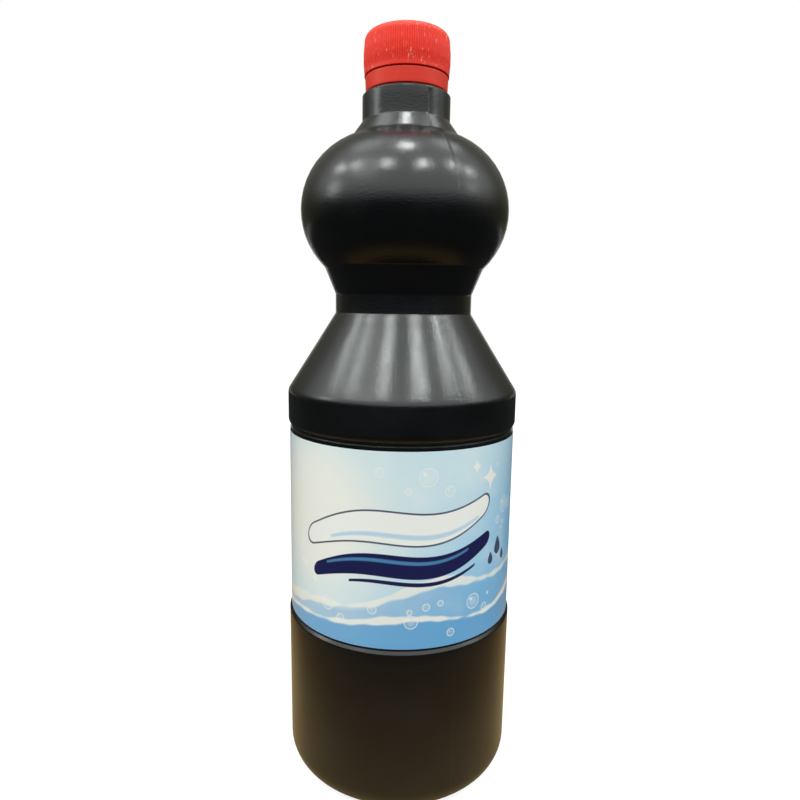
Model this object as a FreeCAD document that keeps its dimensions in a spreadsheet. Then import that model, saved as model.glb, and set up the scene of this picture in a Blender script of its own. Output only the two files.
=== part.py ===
"""One-litre bleach bottle with a figure-of-eight neck and a tamper-evident screw cap.

Millimetres. The origin is the centre of the standing ring, on the floor, with +Z up the
bottle's axis. The bottle's front faces -Y.
"""
import FreeCAD, Part
import math
import os
import re
from collections import namedtuple

import Sketcher

# Driving dimensions, in millimetres, degrees and counts.
SIZES = {
    # Blown bottle: base
    "body_diameter": 84.2,
    "body_wall": 0.8,
    "base_wall": 1.5,
    "heel_radius": 9.0,
    "standing_ring_width": 3.0,
    "push_up_depth": 3.4,
    "push_up_diameter": 40.0,
    "push_up_fillet": 4.0,
    "standing_ring_fillet": 1.0,
    # Blown bottle: lower body, ledge and label panel
    "lower_body_height": 59.8,
    "ledge_overhang": 0.3,
    "ledge_fillet": 0.8,
    "ledge_rise": 2.1,
    "panel_recess": 0.5,
    "panel_height": 68.3,
    # Blown bottle: crease, shoulder band and cone
    "crease_depth": 0.6,
    "crease_chamfer": 0.5,
    "crease_width": 0.5,
    "band_overhang": 0.1,
    "band_undercut": 1.4,
    "band_foot_fillet": 3.0,
    "band_height": 11.6,
    "band_top_fillet": 4.5,
    "cone_height": 27.6,
    # Blown bottle: waist and ball
    "waist_diameter": 49.7,
    "waist_foot_fillet": 0.6,
    "waist_height": 6.8,
    "waist_top_fillet": 3.0,
    "flare_height": 9.4,
    "ball_radius": 26.8,
    "ball_offset": 10.36,
    "ball_foot_angle": 46.69,
    "ball_crown_angle": 70.1,
    # Blown bottle: neck ring and finish
    "neck_flare_height": 5.4,
    "neck_flare_fillet": 0.8,
    "neck_ring_diameter": 31.0,
    "neck_ring_height": 9.4,
    "neck_ring_chamfer": 0.85,
    "neck_ring_wall": 1.35,
    "neck_ring_deck": 1.6,
    "ring_inside_drop": 0.4,
    "finish_diameter": 24.7,
    "finish_height": 16.8,
    "finish_lip_chamfer": 0.4,
    "finish_wall": 1.48,
    "bead_depth": 0.95,
    "bead_lift": 2.6,
    "bead_face": 0.6,
    "bead_lead": 1.1,
    # Screw thread, one start, right hand
    "thread_pitch": 3.18,
    "neck_thread_turns": 1.75,
    "neck_thread_lift": 8.8,
    "neck_thread_depth": 1.0,
    "neck_thread_root": 2.0,
    "neck_thread_crest": 0.9,
    "cap_thread_turns": 1.75,
    "cap_thread_depth": 0.9,
    "cap_thread_root": 1.5,
    "cap_thread_crest": 0.6,
    "flank_clearance": 0.27,
    "thread_bite": 0.15,
    # Screw cap
    "cap_thread_clearance": 0.3,
    "cap_foot_wall": 1.2,
    "cap_wall": 1.5,
    "cap_shoulder_wall": 0.95,
    "cap_lip_height": 1.0,
    "cap_swell_height": 4.6,
    "cap_taper_height": 6.4,
    "cap_top_wall": 1.6,
    "cap_edge_fillet": 2.6,
    "rib_count": 120,
    "rib_groove_depth": 0.32,
    "rib_groove_angle": 1.5,
    # Liner under the cap's top
    "liner_clearance": 0.35,
    "liner_thickness": 1.4,
    # Tamper-evident band
    "tear_gap": 0.55,
    "tamper_seat_clearance": 0.35,
    "tamper_bead_clearance": 0.3,
    "tamper_height": 4.8,
    "tamper_foot_wall": 0.75,
    "tamper_top_wall": 0.95,
    "tamper_hook_depth": 0.7,
    "tamper_hook_height": 1.6,
    "tamper_hook_rise": 0.35,
    "bridge_count": 10,
    "bridge_width": 0.8,
    "bridge_depth": 0.5,
    "bridge_clearance": 0.05,
    # Wrap-around film label
    "label_height": 67.0,
    "label_lift": 0.2,
    "label_glue": 0.05,
    "label_film": 0.1,
    "label_lap": 12.0,
}

# Sizes that follow from the driving ones, each a formula of them or of other lines here.
FORMULAS = {
    "body_radius": "body_diameter / 2",
    "ledge_radius": "body_radius + ledge_overhang",
    "panel_radius": "body_radius - panel_recess",
    "crease_radius": "panel_radius - crease_depth",
    "band_radius": "body_radius + band_overhang",
    "waist_radius": "waist_diameter / 2",
    "push_up_radius": "push_up_diameter / 2",
    "standing_radius": "body_radius - heel_radius - standing_ring_width",
    "panel_foot": "lower_body_height + ledge_rise",
    "panel_top": "panel_foot + panel_height",
    "crease_foot": "panel_top + crease_chamfer",
    "crease_top": "crease_foot + crease_width",
    "band_foot": "crease_top + band_undercut",
    "band_top": "band_foot + band_height",
    "waist_foot": "band_top + cone_height",
    "waist_top": "waist_foot + waist_height",
    "ball_foot": "waist_top + flare_height",
    "ball_rise": "ball_radius * sin(ball_foot_angle)",
    "ball_crown_rise": "ball_radius * sin(ball_crown_angle)",
    "ball_centre": "ball_foot + ball_rise",
    "ball_crown": "ball_centre + ball_crown_rise",
    "ball_foot_radius": "ball_offset + sqrt(ball_radius ^ 2 - ball_rise ^ 2)",
    "ball_crown_radius": "ball_offset + sqrt(ball_radius ^ 2 - ball_crown_rise ^ 2)",
    "ball_inside": "ball_radius - body_wall",
    "crown_inside_rise": "ball_crown_rise - body_wall",
    "crown_inside": "ball_centre + crown_inside_rise",
    "foot_inside_radius": "ball_offset + sqrt(ball_inside ^ 2 - ball_rise ^ 2)",
    "crown_inside_radius": "ball_offset + sqrt(ball_inside ^ 2 - crown_inside_rise ^ 2)",
    "ring_radius": "neck_ring_diameter / 2",
    "ring_foot": "ball_crown + neck_flare_height",
    "ring_top": "ring_foot + neck_ring_height",
    "ring_inside_radius": "ring_radius - neck_ring_wall",
    "ring_inside_foot": "ring_foot - ring_inside_drop",
    "bore_foot": "ring_top - neck_ring_deck",
    "ring_inside_top": "bore_foot - ring_inside_radius + bore_radius",
    "finish_radius": "finish_diameter / 2",
    "finish_top": "ring_top + finish_height",
    "bore_radius": "finish_radius - finish_wall",
    "bead_radius": "finish_radius + bead_depth",
    "bead_foot": "ring_top + bead_lift",
    "bead_face_top": "bead_foot + bead_face",
    "neck_thread_radius": "finish_radius + neck_thread_depth",
    "neck_thread_start": "ring_top + neck_thread_lift",
    "neck_flank_slope": "(neck_thread_root - neck_thread_crest) / 2 / neck_thread_depth",
    "neck_flank_reach": "neck_flank_slope * (cap_thread_radius - finish_radius)",
    "cap_thread_radius": "cap_bore_radius - cap_thread_depth",
    "cap_thread_drop": "(neck_thread_root + cap_thread_crest) / 2 - neck_flank_reach + flank_clearance",
    "cap_thread_start": "neck_thread_start - cap_thread_drop",
    "cap_bore_radius": "neck_thread_radius + cap_thread_clearance",
    "cap_radius": "cap_bore_radius + cap_wall",
    "cap_foot_radius": "cap_bore_radius + cap_foot_wall",
    "cap_shoulder_radius": "cap_bore_radius + cap_shoulder_wall",
    "liner_radius": "cap_bore_radius - liner_clearance",
    "cap_foot": "tamper_top + tear_gap",
    "cap_lip": "cap_foot + cap_lip_height",
    "cap_swell": "cap_foot + cap_swell_height",
    "cap_ceiling": "finish_top + liner_thickness",
    "cap_top": "cap_ceiling + cap_top_wall",
    "cap_taper_foot": "cap_top - cap_taper_height",
    "rib_top": "cap_top - cap_edge_fillet",
    "rib_top_radius": "cap_radius - (cap_radius - cap_shoulder_radius) * (rib_top - cap_taper_foot)"
                      " / cap_taper_height",
    "tamper_foot": "ring_top + tamper_seat_clearance",
    "tamper_top": "tamper_foot + tamper_height",
    "tamper_bore_radius": "bead_radius + tamper_bead_clearance",
    "tamper_foot_radius": "tamper_bore_radius + tamper_foot_wall",
    "tamper_top_radius": "tamper_bore_radius + tamper_top_wall",
    "tamper_hook_radius": "tamper_bore_radius - tamper_hook_depth",
    "tamper_hook_top": "tamper_foot + tamper_hook_height",
    "bridge_radius": "tamper_bore_radius + bridge_depth",
    "label_foot": "panel_foot + label_lift",
    "label_top": "label_foot + label_height",
    "label_inside": "panel_radius + label_glue",
    "label_outside": "label_inside + label_film",
    "lap_outside": "label_outside + label_film",
}

# A corner of a closed outline: its place, then the fillet that rounds it, or the radius of
# an arc to the next corner that bulges out of the outline or dishes into it.
Corner = namedtuple("Corner", "across up fillet bulge dish", defaults=(None, None, None))

doc = FreeCAD.newDocument("bleach_bottle")
sheet = doc.addObject("Spreadsheet::Sheet", "Sizes")


def fill_sheet():
    """Write every driving dimension to a row of the sheet, with its name as the alias."""
    for row, (name, value) in enumerate(SIZES.items(), start=1):
        sheet.set(f"A{row}", name)
        sheet.set(f"B{row}", str(value))
        sheet.setAlias(f"B{row}", name)
    doc.recompute()


def spell_out(text):
    """A formula with its words replaced by cells of the sheet."""
    def cells(match):
        word = match.group(0)
        if word in SIZES:
            return "Sizes." + word
        if word in FORMULAS:
            return "(" + spell_out(FORMULAS[word]) + ")"
        return word
    return re.sub(r"[a-z_]+", cells, text)


def measure(text):
    """The value of a formula."""
    return float(sheet.evalExpression(spell_out(text)))


def add_body(label):
    """An empty body whose label is the piece's name."""
    body = doc.addObject("PartDesign::Body", label.title().replace("_", ""))
    body.Label = label
    return body


def add_sketch(body, name, role="XZ_Plane"):
    """An empty sketch on one of the body's own origin planes."""
    sketch = body.newObject("Sketcher::SketchObject", name)
    plane = next(f for f in body.Origin.OriginFeatures if f.Role == role)
    sketch.AttachmentSupport = [(plane, "")]
    sketch.MapMode = "FlatFace"
    return sketch


def point_rules(geometry, end, corner):
    """The constraints that hold a point at the corner, each with the formula it follows."""
    rules = []
    for kind, text, axis in (("DistanceX", corner.across, -2), ("DistanceY", corner.up, -1)):
        if text == "0":
            rules.append((Sketcher.Constraint("PointOnObject", geometry, end, axis), None))
        else:
            rules.append((Sketcher.Constraint(kind, -1, 1, geometry, end, measure(text)), text))
    return rules


def radius_rule(geometry, text):
    """The constraint that gives an arc the formula's radius."""
    return Sketcher.Constraint("Radius", geometry, measure(text)), text


def add_arc(sketch, start, end, centre):
    """The shorter arc about a centre, with the numbers of its first and last ends.

    A sketch's arc runs anticlockwise, so an arc that turns clockwise on the way round the
    outline begins at its second end.
    """
    first, last = start - centre, end - centre
    forward = first.cross(last).z > 0
    if not forward:
        first, last = last, first
    opening = math.atan2(first.y, first.x)
    closing = opening + first.getAngle(last)
    circle = Part.Circle(centre, FreeCAD.Vector(0, 0, 1), first.Length)
    index = sketch.addGeometry(Part.ArcOfCircle(circle, opening, closing), False)
    return (index, 1, 2) if forward else (index, 2, 1)


def arc_centre(start, end, radius, left):
    """The centre of the shorter arc from start to end, on the left or right of the way."""
    chord = end - start
    normal = FreeCAD.Vector(-chord.y, chord.x, 0).normalize()
    height = math.sqrt(radius ** 2 - (chord.Length / 2) ** 2)
    return (start + end) / 2 + normal * (height if left else -height)


def draw_outline(sketch, corners):
    """A closed outline, anticlockwise through the corners, with every size bound."""
    places = [FreeCAD.Vector(measure(c.across), measure(c.up), 0) for c in corners]
    starts, ends = list(places), list(places)
    centres = {}
    for i, corner in enumerate(corners):
        if corner.fillet:
            back = (places[i - 1] - places[i]).normalize()
            ahead = (places[(i + 1) % len(places)] - places[i]).normalize()
            half = back.getAngle(ahead) / 2
            radius = measure(corner.fillet)
            ends[i] = places[i] + back * (radius / math.tan(half))
            starts[i] = places[i] + ahead * (radius / math.tan(half))
            centres[i] = places[i] + (back + ahead).normalize() * (radius / math.sin(half))

    rules = []
    edges = []
    for i, corner in enumerate(corners):
        start, end = starts[i], ends[(i + 1) % len(ends)]
        radius = corner.bulge or corner.dish
        if radius:
            centre = arc_centre(start, end, measure(radius), bool(corner.bulge))
            edges.append(add_arc(sketch, start, end, centre))
            rules.append(radius_rule(edges[i][0], radius))
        else:
            edges.append((sketch.addGeometry(Part.LineSegment(start, end), False), 1, 2))

    for i, corner in enumerate(corners):
        before, _, before_end = edges[i - 1]
        after, after_start, _ = edges[i]
        if corner.fillet:
            arc, arc_start, arc_end = add_arc(sketch, ends[i], starts[i], centres[i])
            peak = sketch.addGeometry(Part.Point(places[i]), True)
            rules += [
                (Sketcher.Constraint("Tangent", before, before_end, arc, arc_start), None),
                (Sketcher.Constraint("Tangent", arc, arc_end, after, after_start), None),
                (Sketcher.Constraint("PointOnObject", peak, 1, before), None),
                (Sketcher.Constraint("PointOnObject", peak, 1, after), None),
                radius_rule(arc, corner.fillet),
                *point_rules(peak, 1, corner),
            ]
        else:
            meeting = Sketcher.Constraint("Coincident", before, before_end, after, after_start)
            rules += [(meeting, None), *point_rules(after, after_start, corner)]

    indexes = sketch.addConstraint([constraint for constraint, _ in rules])
    for index, (_, text) in zip(indexes, rules):
        if text:
            sketch.setExpression(f"Constraints[{index}]", spell_out(text))


def add_turned(body, name, kind, corners, role="XZ_Plane", angle=None):
    """Turn an outline about the bottle's axis: all round, or an angle across its plane."""
    sketch = add_sketch(body, name + "_outline", role)
    draw_outline(sketch, corners)
    turned = body.newObject(kind, name)
    turned.Profile = sketch
    turned.ReferenceAxis = (sketch, ["V_Axis"])
    turned.Angle = 360
    if angle:
        turned.Midplane = True
        turned.setExpression("Angle", spell_out(angle))
    sketch.Visibility = False
    doc.recompute()
    return turned


def add_thread(body, name, corners, turns):
    """A right-hand thread ridge of the outline's section, from the +X side upwards."""
    sketch = add_sketch(body, name + "_section")
    draw_outline(sketch, corners)
    thread = body.newObject("PartDesign::AdditiveHelix", name)
    thread.Profile = sketch
    thread.ReferenceAxis = (sketch, ["V_Axis"])
    thread.Mode = "pitch-turns-angle"
    thread.setExpression("Pitch", spell_out("thread_pitch"))
    thread.setExpression("Turns", spell_out(turns))
    sketch.Visibility = False
    doc.recompute()
    return thread


def add_ring_of(body, name, feature, count):
    """Repeat a feature evenly round the bottle's axis."""
    ring = body.newObject("PartDesign::PolarPattern", name)
    ring.Originals = [feature]
    ring.Axis = (feature.Profile[0], ["V_Axis"])
    ring.Angle = 360
    ring.setExpression("Occurrences", spell_out(count))
    body.Tip = ring
    doc.recompute()
    return ring


def ridge(base, tip, middle, root, crest):
    """The corners of a thread ridge's section, from its base out to its tip and back."""
    return [
        Corner(base, f"{middle} - {root} / 2"),
        Corner(tip, f"{middle} - {crest} / 2"),
        Corner(tip, f"{middle} + {crest} / 2"),
        Corner(base, f"{middle} + {root} / 2"),
    ]


def build_bottle():
    """One blown wall from the push-up base to the neck's lip, and its thread."""
    body = add_body("bottle")
    wall = [
        Corner("ledge_radius", "lower_body_height", "ledge_fillet"),
        Corner("panel_radius", "panel_foot"),
        Corner("panel_radius", "panel_top"),
        Corner("crease_radius", "crease_foot"),
        Corner("crease_radius", "crease_top"),
        Corner("band_radius", "band_foot", "band_foot_fillet"),
        Corner("band_radius", "band_top", "band_top_fillet"),
        Corner("waist_radius", "waist_foot", "waist_foot_fillet"),
        Corner("waist_radius", "waist_top", "waist_top_fillet"),
    ]
    outside = [
        Corner("0", "push_up_depth"),
        Corner("push_up_radius", "push_up_depth", "push_up_fillet"),
        Corner("standing_radius", "0", "standing_ring_fillet"),
        Corner("body_radius", "0", "heel_radius"),
        *wall,
        Corner("ball_foot_radius", "ball_foot", bulge="ball_radius"),
        Corner("ball_crown_radius", "ball_crown"),
        Corner("ring_radius", "ring_foot", "neck_flare_fillet"),
        Corner("ring_radius", "ring_top - neck_ring_chamfer"),
        Corner("ring_radius - neck_ring_chamfer", "ring_top"),
    ]
    finish = [
        Corner("finish_radius", "ring_top"),
        Corner("finish_radius", "bead_foot"),
        Corner("bead_radius", "bead_foot"),
        Corner("bead_radius", "bead_face_top"),
        Corner("finish_radius", "bead_face_top + bead_lead"),
        Corner("finish_radius", "finish_top - finish_lip_chamfer"),
        Corner("finish_radius - finish_lip_chamfer", "finish_top"),
        Corner("bore_radius", "finish_top"),
        Corner("bore_radius", "bore_foot"),
    ]
    inside = [
        Corner("ring_inside_radius", "ring_inside_top"),
        Corner("ring_inside_radius", "ring_inside_foot"),
        Corner("crown_inside_radius", "crown_inside", dish="ball_inside"),
        Corner("foot_inside_radius", "ball_foot"),
        *[Corner(c.across + " - body_wall", c.up) for c in reversed(wall)],
        Corner("body_radius - body_wall", "base_wall", "heel_radius - body_wall"),
        Corner("standing_radius", "base_wall"),
        Corner("push_up_radius", "push_up_depth + base_wall"),
        Corner("0", "push_up_depth + base_wall"),
    ]
    add_turned(body, "blown_wall", "PartDesign::Revolution", outside + finish + inside)
    section = ridge("finish_radius - thread_bite", "neck_thread_radius",
                    "neck_thread_start", "neck_thread_root", "neck_thread_crest")
    add_thread(body, "neck_thread", section, "neck_thread_turns")


def build_cap():
    """The screw cap: a swelling skirt with a plain lip, fine grip ribs and a thread."""
    body = add_body("cap")
    shell = [
        Corner("cap_bore_radius", "cap_foot"),
        Corner("cap_foot_radius", "cap_foot"),
        Corner("cap_foot_radius", "cap_lip"),
        Corner("cap_radius", "cap_swell"),
        Corner("cap_radius", "cap_taper_foot"),
        Corner("cap_shoulder_radius", "cap_top", "cap_edge_fillet"),
        Corner("0", "cap_top"),
        Corner("0", "cap_ceiling"),
        Corner("cap_bore_radius", "cap_ceiling"),
    ]
    add_turned(body, "cap_shell", "PartDesign::Revolution", shell)
    section = ridge("cap_bore_radius + thread_bite", "cap_thread_radius",
                    "cap_thread_start", "cap_thread_root", "cap_thread_crest")
    add_thread(body, "cap_thread", section[::-1], "cap_thread_turns")
    groove_floor = [
        Corner("cap_foot_radius - rib_groove_depth", "cap_lip"),
        Corner("cap_radius + rib_groove_depth", "cap_lip"),
        Corner("cap_radius + rib_groove_depth", "rib_top"),
        Corner("rib_top_radius - rib_groove_depth", "rib_top"),
        Corner("cap_radius - rib_groove_depth", "cap_taper_foot"),
        Corner("cap_radius - rib_groove_depth", "cap_swell"),
    ]
    groove = add_turned(body, "rib_groove", "PartDesign::Groove", groove_floor,
                        angle="rib_groove_angle")
    add_ring_of(body, "rib_grooves", groove, "rib_count")


def build_cap_liner():
    """The foam disc that seals the neck's lip, loose under the cap's top."""
    body = add_body("cap_liner")
    disc = [
        Corner("0", "finish_top"),
        Corner("liner_radius", "finish_top"),
        Corner("liner_radius", "cap_ceiling"),
        Corner("0", "cap_ceiling"),
    ]
    add_turned(body, "liner_disc", "PartDesign::Revolution", disc)


def build_tamper_band():
    """The band that stays on the neck, hooked under its bead, with the torn-off bridges."""
    body = add_body("tamper_band")
    hoop = [
        Corner("tamper_hook_radius", "tamper_foot"),
        Corner("tamper_foot_radius", "tamper_foot"),
        Corner("tamper_top_radius", "tamper_top"),
        Corner("tamper_bore_radius", "tamper_top"),
        Corner("tamper_bore_radius", "tamper_hook_top + tamper_hook_rise"),
        Corner("tamper_hook_radius", "tamper_hook_top"),
    ]
    add_turned(body, "hoop", "PartDesign::Revolution", hoop)
    nub = [
        Corner("tamper_bore_radius", "tamper_top - thread_bite"),
        Corner("bridge_radius", "tamper_top - thread_bite"),
        Corner("bridge_radius", "cap_foot - bridge_clearance"),
        Corner("tamper_bore_radius", "cap_foot - bridge_clearance"),
    ]
    bridge = add_turned(body, "bridge", "PartDesign::Revolution", nub,
                        angle="bridge_width / bridge_radius * 180 / pi")
    add_ring_of(body, "bridges", bridge, "bridge_count")


def build_label():
    """A film wrapped round the recessed panel, its end lapped over its start at the back."""
    body = add_body("label")
    film = [
        Corner("label_inside", "label_foot"),
        Corner("label_outside", "label_foot"),
        Corner("label_outside", "label_top"),
        Corner("label_inside", "label_top"),
    ]
    add_turned(body, "film", "PartDesign::Revolution", film)
    lap = [
        Corner("label_inside", "label_foot"),
        Corner("lap_outside", "label_foot"),
        Corner("lap_outside", "label_top"),
        Corner("label_inside", "label_top"),
    ]
    add_turned(body, "lap", "PartDesign::Revolution", lap, "YZ_Plane",
               "label_lap / label_outside * 180 / pi")


def export_pieces():
    """Stop at anything that failed, then write one STEP file for each body."""
    doc.recompute()
    for item in doc.Objects:
        if "Invalid" in item.State or "Error" in item.State:
            raise RuntimeError(f"{item.Label} failed: {item.State}")
    bodies = [item for item in doc.Objects if item.TypeId == "PartDesign::Body"]
    for body in bodies:
        if body.Shape.isNull() or not body.Shape.isValid() or len(body.Shape.Solids) != 1:
            raise RuntimeError(f"{body.Label} isn't one valid solid")
    os.makedirs("parts", exist_ok=True)
    for body in bodies:
        body.Shape.exportStep(f"parts/{body.Label}.step")
        print(f"{body.Label}: {body.Shape.Volume / 1000:.2f} cm3")


fill_sheet()
build_bottle()
build_cap()
build_cap_liner()
build_tamper_band()
build_label()
export_pieces()
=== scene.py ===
import logging
import math
from collections.abc import Callable, Sequence
from dataclasses import dataclass, field
from enum import Enum

import bpy
import numpy as np
from mathutils import Matrix, Vector

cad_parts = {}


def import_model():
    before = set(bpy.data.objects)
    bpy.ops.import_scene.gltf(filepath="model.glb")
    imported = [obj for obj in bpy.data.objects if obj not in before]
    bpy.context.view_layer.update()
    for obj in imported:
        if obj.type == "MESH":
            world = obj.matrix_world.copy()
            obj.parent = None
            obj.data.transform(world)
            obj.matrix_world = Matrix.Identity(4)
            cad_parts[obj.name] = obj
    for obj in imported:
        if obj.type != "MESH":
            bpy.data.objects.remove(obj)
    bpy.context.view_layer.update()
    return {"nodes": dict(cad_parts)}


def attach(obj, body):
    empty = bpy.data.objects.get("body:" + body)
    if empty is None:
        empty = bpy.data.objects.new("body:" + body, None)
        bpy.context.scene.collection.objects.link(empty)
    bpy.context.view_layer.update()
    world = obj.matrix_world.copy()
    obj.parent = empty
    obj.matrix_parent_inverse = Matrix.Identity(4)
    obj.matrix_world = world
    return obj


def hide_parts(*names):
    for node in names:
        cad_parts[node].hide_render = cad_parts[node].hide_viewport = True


MM = 0.001
FULL_TURN = 2 * math.pi
# The mould's parting plane, as a bearing from the bottle's front towards its right.
PARTING_BEARING = math.radians(26.6)
# Millimetres of the label to one unit of its UV map.
WRAP_UNIT = 100.0

log = logging.getLogger("bottle")


class Motion(Enum):
    """The bodies that the scene's own pieces ride on."""

    BOTTLE = "bottle"
    CAP = "cap"


# Profiles and surfaces


@dataclass(frozen=True)
class Corner:
    """A corner of a profile, in millimetres.

    Attributes:
        across: Distance from the axis.
        up: Height.
        fillet: Radius that rounds the corner, or 0 for a sharp one.
        bulge: Radius of the arc to the next corner, above 0 where it bows out of the wall and
            below 0 where it bows into it, or 0 for a straight run.
    """

    across: float
    up: float
    fillet: float = 0.0
    bulge: float = 0.0


@dataclass
class Shell:
    """Vertices in millimetres, and faces that point outwards."""

    vertices: np.ndarray
    faces: list[list[int]]

    def joined(self, other: "Shell") -> "Shell":
        """Both shells as one, each keeping its own vertices."""
        start = len(self.vertices)
        moved = [[start + number for number in face] for face in other.faces]
        return Shell(np.vstack([self.vertices, other.vertices]), self.faces + moved)


def unit(vectors: np.ndarray) -> np.ndarray:
    """Each row scaled to length 1."""
    return vectors / np.linalg.norm(vectors, axis=-1, keepdims=True)


def smooth_step(values: np.ndarray, low: float, high: float) -> np.ndarray:
    """0 below low, 1 above high, and 3t^2 - 2t^3 between them."""
    t = np.clip((values - low) / (high - low), 0, 1)
    return t * t * (3 - 2 * t)


def arc_points(centre: np.ndarray, start: np.ndarray, end: np.ndarray, turn: float) -> np.ndarray:
    """Points along the shorter arc: centre + radius (cos a, sin a), a from start to end.

    Args:
        centre: The arc's centre.
        start: Its first point.
        end: Its last point.
        turn: Largest angle between two points, in degrees.

    Returns:
        The points, both ends included.
    """
    radius = np.linalg.norm(start - centre)
    first = math.atan2(*(start - centre)[::-1])
    sweep = (math.atan2(*(end - centre)[::-1]) - first + math.pi) % FULL_TURN - math.pi
    steps = max(2, math.ceil(abs(sweep) / math.radians(turn)))
    angles = first + np.linspace(0, sweep, steps + 1)
    return centre + radius * np.stack([np.cos(angles), np.sin(angles)], axis=1)


def trace(corners: Sequence[Corner], closed: bool = False, run: float = 2.0, turn: float = 10.0) -> np.ndarray:
    """Points along a profile through corners, anticlockwise in the (across, up) plane.

    A fillet of radius r, where two sides meet at the angle 2h, starts and ends r / tan(h) from
    the corner, about a centre r / sin(h) from it on the line between the sides.

    Args:
        corners: The profile's corners in order.
        closed: Whether the last corner runs on to the first.
        run: Longest step along a straight run, in millimetres.
        turn: Largest angle between two points of an arc, in degrees.

    Returns:
        An array of (across, up) rows, in millimetres.
    """
    places = np.array([(corner.across, corner.up) for corner in corners], dtype=float)
    count = len(corners)
    rounds = []
    for i, corner in enumerate(corners):
        here = places[i]
        if not corner.fillet:
            rounds.append(here[None])
            continue
        back = unit(places[i - 1] - here)
        ahead = unit(places[(i + 1) % count] - here)
        half = math.acos(np.clip(back @ ahead, -1, 1)) / 2
        reach = corner.fillet / math.tan(half)
        centre = here + unit(back + ahead) * corner.fillet / math.sin(half)
        rounds.append(arc_points(centre, here + back * reach, here + ahead * reach, turn))
    path = []
    for i in range(count if closed else count - 1):
        start, end = rounds[i][-1], rounds[(i + 1) % count][0]
        path.append(rounds[i])
        if corners[i].bulge:
            chord = end - start
            normal = unit(np.array([-chord[1], chord[0]])) * math.copysign(1, corners[i].bulge)
            height = math.sqrt(corners[i].bulge ** 2 - (chord @ chord) / 4)
            path.append(arc_points((start + end) / 2 + normal * height, start, end, turn)[1:-1])
        else:
            steps = max(1, math.ceil(np.linalg.norm(end - start) / run))
            share = np.linspace(0, 1, steps + 1)[1:-1, None]
            path.append(start + (end - start) * share)
    if not closed:
        path.append(rounds[-1])
    return np.vstack(path)


def eased(profile: np.ndarray, corner: tuple[float, float], reach: float) -> np.ndarray:
    """Round one corner of a traced profile with the curve (1-t)^2 A + 2t(1-t) C + t^2 B.

    Args:
        profile: Rows of (across, up).
        corner: The corner C, also where an arc meets it.
        reach: How far along the profile A and B lie from it, in millimetres.

    Returns:
        The profile with that stretch replaced.
    """
    along = np.concatenate([[0], np.cumsum(np.linalg.norm(np.diff(profile, axis=0), axis=1))])
    middle = along[np.argmin(np.linalg.norm(profile - corner, axis=1))]
    start, end = (np.array([np.interp(middle + way * reach, along, column) for column in profile.T]) for way in (-1, 1))
    t = np.linspace(0, 1, 10)[:, None]
    curve = (1 - t) ** 2 * start + 2 * t * (1 - t) * np.array(corner) + t ** 2 * end
    return np.vstack([profile[along < middle - reach], curve, profile[along > middle + reach]])


def profile_normals(profile: np.ndarray, closed: bool) -> np.ndarray:
    """Unit vectors out of the wall: the profile's tangent turned a quarter clockwise."""
    if closed:
        tangent = np.roll(profile, -1, axis=0) - np.roll(profile, 1, axis=0)
    else:
        tangent = np.gradient(profile, axis=0)
    tangent = unit(tangent)
    return np.stack([tangent[:, 1], -tangent[:, 0]], axis=1)


def grid_shell(points: np.ndarray, wrap_rows: bool, wrap_columns: bool) -> Shell:
    """Quads between neighbouring rows and columns of a grid of points.

    Points that coincide on the axis become one vertex, and their quads become triangles.

    Args:
        points: An array of rows x columns x 3.
        wrap_rows: Whether the last row joins the first.
        wrap_columns: Whether the last column joins the first.

    Returns:
        The shell, whose faces point outwards where rows run anticlockwise along a profile and
        columns run anticlockwise about the axis.
    """
    rows, columns = points.shape[:2]
    index = np.arange(rows * columns).reshape(rows, columns)
    poles = np.hypot(points[..., 0], points[..., 1]).max(axis=1) < 1e-6
    index[poles] = index[poles, :1]
    loop = index
    if wrap_columns:
        loop = np.concatenate([loop, loop[:, :1]], axis=1)
    if wrap_rows:
        loop = np.concatenate([loop, loop[:1]], axis=0)
    quads = np.stack([loop[:-1, :-1], loop[:-1, 1:], loop[1:, 1:], loop[1:, :-1]], axis=-1).reshape(-1, 4)
    used, flat = np.unique(quads, return_inverse=True)
    quads = flat.reshape(-1, 4)
    low = quads[:, 0] == quads[:, 1]
    high = quads[:, 2] == quads[:, 3]
    faces = quads[~(low | high)].tolist() + quads[low][:, 1:].tolist() + quads[high][:, :3].tolist()
    return Shell(points.reshape(-1, 3)[used], faces)


def swept_shell(points: np.ndarray) -> Shell:
    """A closed section, down the rows, carried along the columns, with a face over each end."""
    shell = grid_shell(points, wrap_rows=True, wrap_columns=False)
    index = np.arange(len(shell.vertices)).reshape(points.shape[:2])
    shell.faces += [index[:, 0].tolist(), index[::-1, -1].tolist()]
    return shell


def about_axis(across: np.ndarray, bearings: np.ndarray, up: np.ndarray) -> np.ndarray:
    """Points about the axis: (r sin b, -r cos b, z), at distance r, bearing b and height z."""
    return np.stack(np.broadcast_arrays(across * np.sin(bearings), -across * np.cos(bearings), up), axis=-1)


def lathe(profile: np.ndarray, bearings: np.ndarray, closed: bool = False,
          relief: Callable[[np.ndarray, np.ndarray], np.ndarray] | None = None) -> Shell:
    """Turn a profile about the axis: (r, z) at bearing b goes to (r sin b, -r cos b, z).

    Args:
        profile: Rows of (across, up).
        bearings: Angles from the front towards the right.
        closed: Whether the profile is a loop, as a ring's is.
        relief: Height out of the wall as a function of the profile's rows, as a column, and of
            the bearings, as a row. It moves each point along the profile's normal.

    Returns:
        The turned shell.
    """
    across, up = profile[:, :1], profile[:, 1:]
    if relief:
        normals = profile_normals(profile, closed)
        lift = relief(profile, bearings[None, :]) * (across > 0)
        across = across + normals[:, :1] * lift
        up = up + normals[:, 1:] * lift
    return grid_shell(about_axis(across, bearings, up), wrap_rows=closed, wrap_columns=True)


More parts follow.
